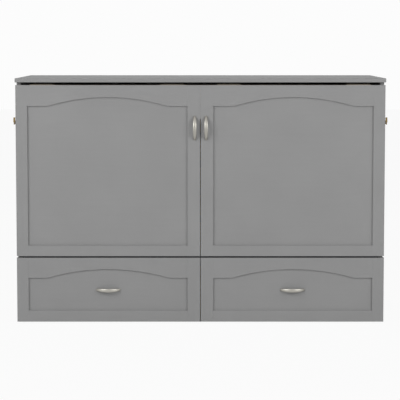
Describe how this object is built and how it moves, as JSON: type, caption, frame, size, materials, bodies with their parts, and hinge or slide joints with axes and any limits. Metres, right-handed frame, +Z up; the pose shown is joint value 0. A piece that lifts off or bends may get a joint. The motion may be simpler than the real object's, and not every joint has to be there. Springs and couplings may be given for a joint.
{
  "type": "cabinet bed",
  "caption": "Closed chest with arched recessed doors and two drawers; the doors drop forward as a slatted bed deck that unfolds on legs, and the lid lifts.",
  "frame": {"origin": "on the floor, below the middle of the closed object's box", "axes": "+X to the right as seen from the front, +Y from the doors to the back, +Z up"},
  "size_m": [1.646, 0.6356, 1.085],
  "materials": {
    "satin_grey_paint": "satin grey paint on wood and board",
    "bare_pine": "planed, unpainted pine",
    "plywood": "sanded plywood",
    "zinc_steel": "bright zinc plate",
    "brass": "dull brass plate",
    "brushed_nickel": "brushed nickel",
    "rubber": "moulded",
    "nylon": "moulded nylon"
  },
  "bodies": {
    "cabinet": {"left_side_frame": "satin_grey_paint", "left_side_panel": "satin_grey_paint", "right_side_frame": "satin_grey_paint", "right_side_panel": "satin_grey_paint", "back_frame": "satin_grey_paint", "back_panels": "satin_grey_paint", "centre_divider": "bare_pine", "front_base_rail": "satin_grey_paint", "head_bearers": "bare_pine", "head_slats": "bare_pine", "drawer_runners": "bare_pine", "floor_glides": "nylon", "deck_hinge_fixed_leaf": "zinc_steel", "deck_hinge_pin": "zinc_steel", "lid_hinge_fixed_leaf": "zinc_steel", "lid_hinge_pin": "zinc_steel", "hook_screws": "brass"},
    "lid": {"lid_board": "satin_grey_paint", "lid_hinge_moving_leaf": "zinc_steel"},
    "front_deck": {"left_door_frame": "satin_grey_paint", "left_door_panel": "satin_grey_paint", "right_door_frame": "satin_grey_paint", "right_door_panel": "satin_grey_paint", "seam_spacer": "satin_grey_paint", "deck_hinge_moving_leaf": "zinc_steel", "front_deck_bearers": "bare_pine", "front_deck_slats": "bare_pine", "left_door_pull": "brushed_nickel", "right_door_pull": "brushed_nickel", "fold_hinge_front_leaves": "brass", "fold_hinge_pins": "brass", "latch_studs": "brass"},
    "foot_deck": {"foot_deck_bearers": "bare_pine", "foot_deck_slats": "bare_pine", "fold_hinge_foot_leaves": "brass", "leg_brackets": "zinc_steel"},
    "leg_frame": {"leg_tube": "zinc_steel", "folding_legs": "bare_pine", "leg_crossbar": "bare_pine", "leg_pads": "rubber"},
    "left_drawer": {"left_drawer_frame": "satin_grey_paint", "left_drawer_panel": "satin_grey_paint", "left_drawer_box": "bare_pine", "left_drawer_bottom": "plywood", "left_drawer_pull": "brushed_nickel", "left_wheel_brackets": "zinc_steel", "left_wheel_axles": "zinc_steel"},
    "left_wheels": {"left_drawer_wheels": "nylon"},
    "left_hook": {"left_hook": "brass"},
    "right_drawer": {"right_drawer_frame": "satin_grey_paint", "right_drawer_panel": "satin_grey_paint", "right_drawer_box": "bare_pine", "right_drawer_bottom": "plywood", "right_drawer_pull": "brushed_nickel", "right_wheel_brackets": "zinc_steel", "right_wheel_axles": "zinc_steel"},
    "right_wheels": {"right_drawer_wheels": "nylon"},
    "right_hook": {"right_hook": "brass"}
  },
  "joints": [
    {"name": "front_deck_hinge", "type": "hinge", "parent": "cabinet", "child": "front_deck", "pos_m": [0, -0.2876, 0.2946], "axis": [1, 0, 0], "range_deg": [0, 90]},
    {"name": "foot_deck_hinge", "type": "hinge", "parent": "front_deck", "child": "foot_deck", "pos_m": [0, -0.2358, 1.05775], "axis": [1, 0, 0], "range_deg": [0, 180]},
    {"name": "leg_hinge", "type": "hinge", "parent": "foot_deck", "child": "leg_frame", "pos_m": [0, -0.1853, 0.392], "axis": [-1, 0, 0], "range_deg": [0, 90]},
    {"name": "lid_hinge", "type": "hinge", "parent": "cabinet", "child": "lid", "pos_m": [0, 0.3146, 1.067], "axis": [-1, 0, 0], "range_deg": [0, 90]},
    {"name": "left_drawer_slide", "type": "slide", "parent": "cabinet", "child": "left_drawer", "axis": [0, -1, 0], "range_m": [0, 0.45]},
    {"name": "left_wheel_spin", "type": "hinge", "parent": "left_drawer", "child": "left_wheels", "pos_m": [0, -0.2258, 0.02], "axis": [1, 0, 0], "range_deg": [0, 1290]},
    {"name": "left_hook_pivot", "type": "hinge", "parent": "cabinet", "child": "left_hook", "pos_m": [0, -0.2408, 0.886], "axis": [-1, 0, 0], "range_deg": [-12, 78]},
    {"name": "right_drawer_slide", "type": "slide", "parent": "cabinet", "child": "right_drawer", "axis": [0, -1, 0], "range_m": [0, 0.45]},
    {"name": "right_wheel_spin", "type": "hinge", "parent": "right_drawer", "child": "right_wheels", "pos_m": [0, -0.2258, 0.02], "axis": [1, 0, 0], "range_deg": [0, 1290]},
    {"name": "right_hook_pivot", "type": "hinge", "parent": "cabinet", "child": "right_hook", "pos_m": [0, -0.2408, 0.886], "axis": [-1, 0, 0], "range_deg": [-12, 78]}
  ],
  "couplings": [
    {"joint": "foot_deck_hinge", "follows": "front_deck_hinge", "ratio": 2},
    {"joint": "leg_hinge", "follows": "front_deck_hinge", "ratio": 1},
    {"joint": "lid_hinge", "follows": "front_deck_hinge", "ratio": 1},
    {"joint": "left_wheel_spin", "follows": "left_drawer_slide", "rad_per_m": 50},
    {"joint": "right_wheel_spin", "follows": "right_drawer_slide", "rad_per_m": 50}
  ]
}
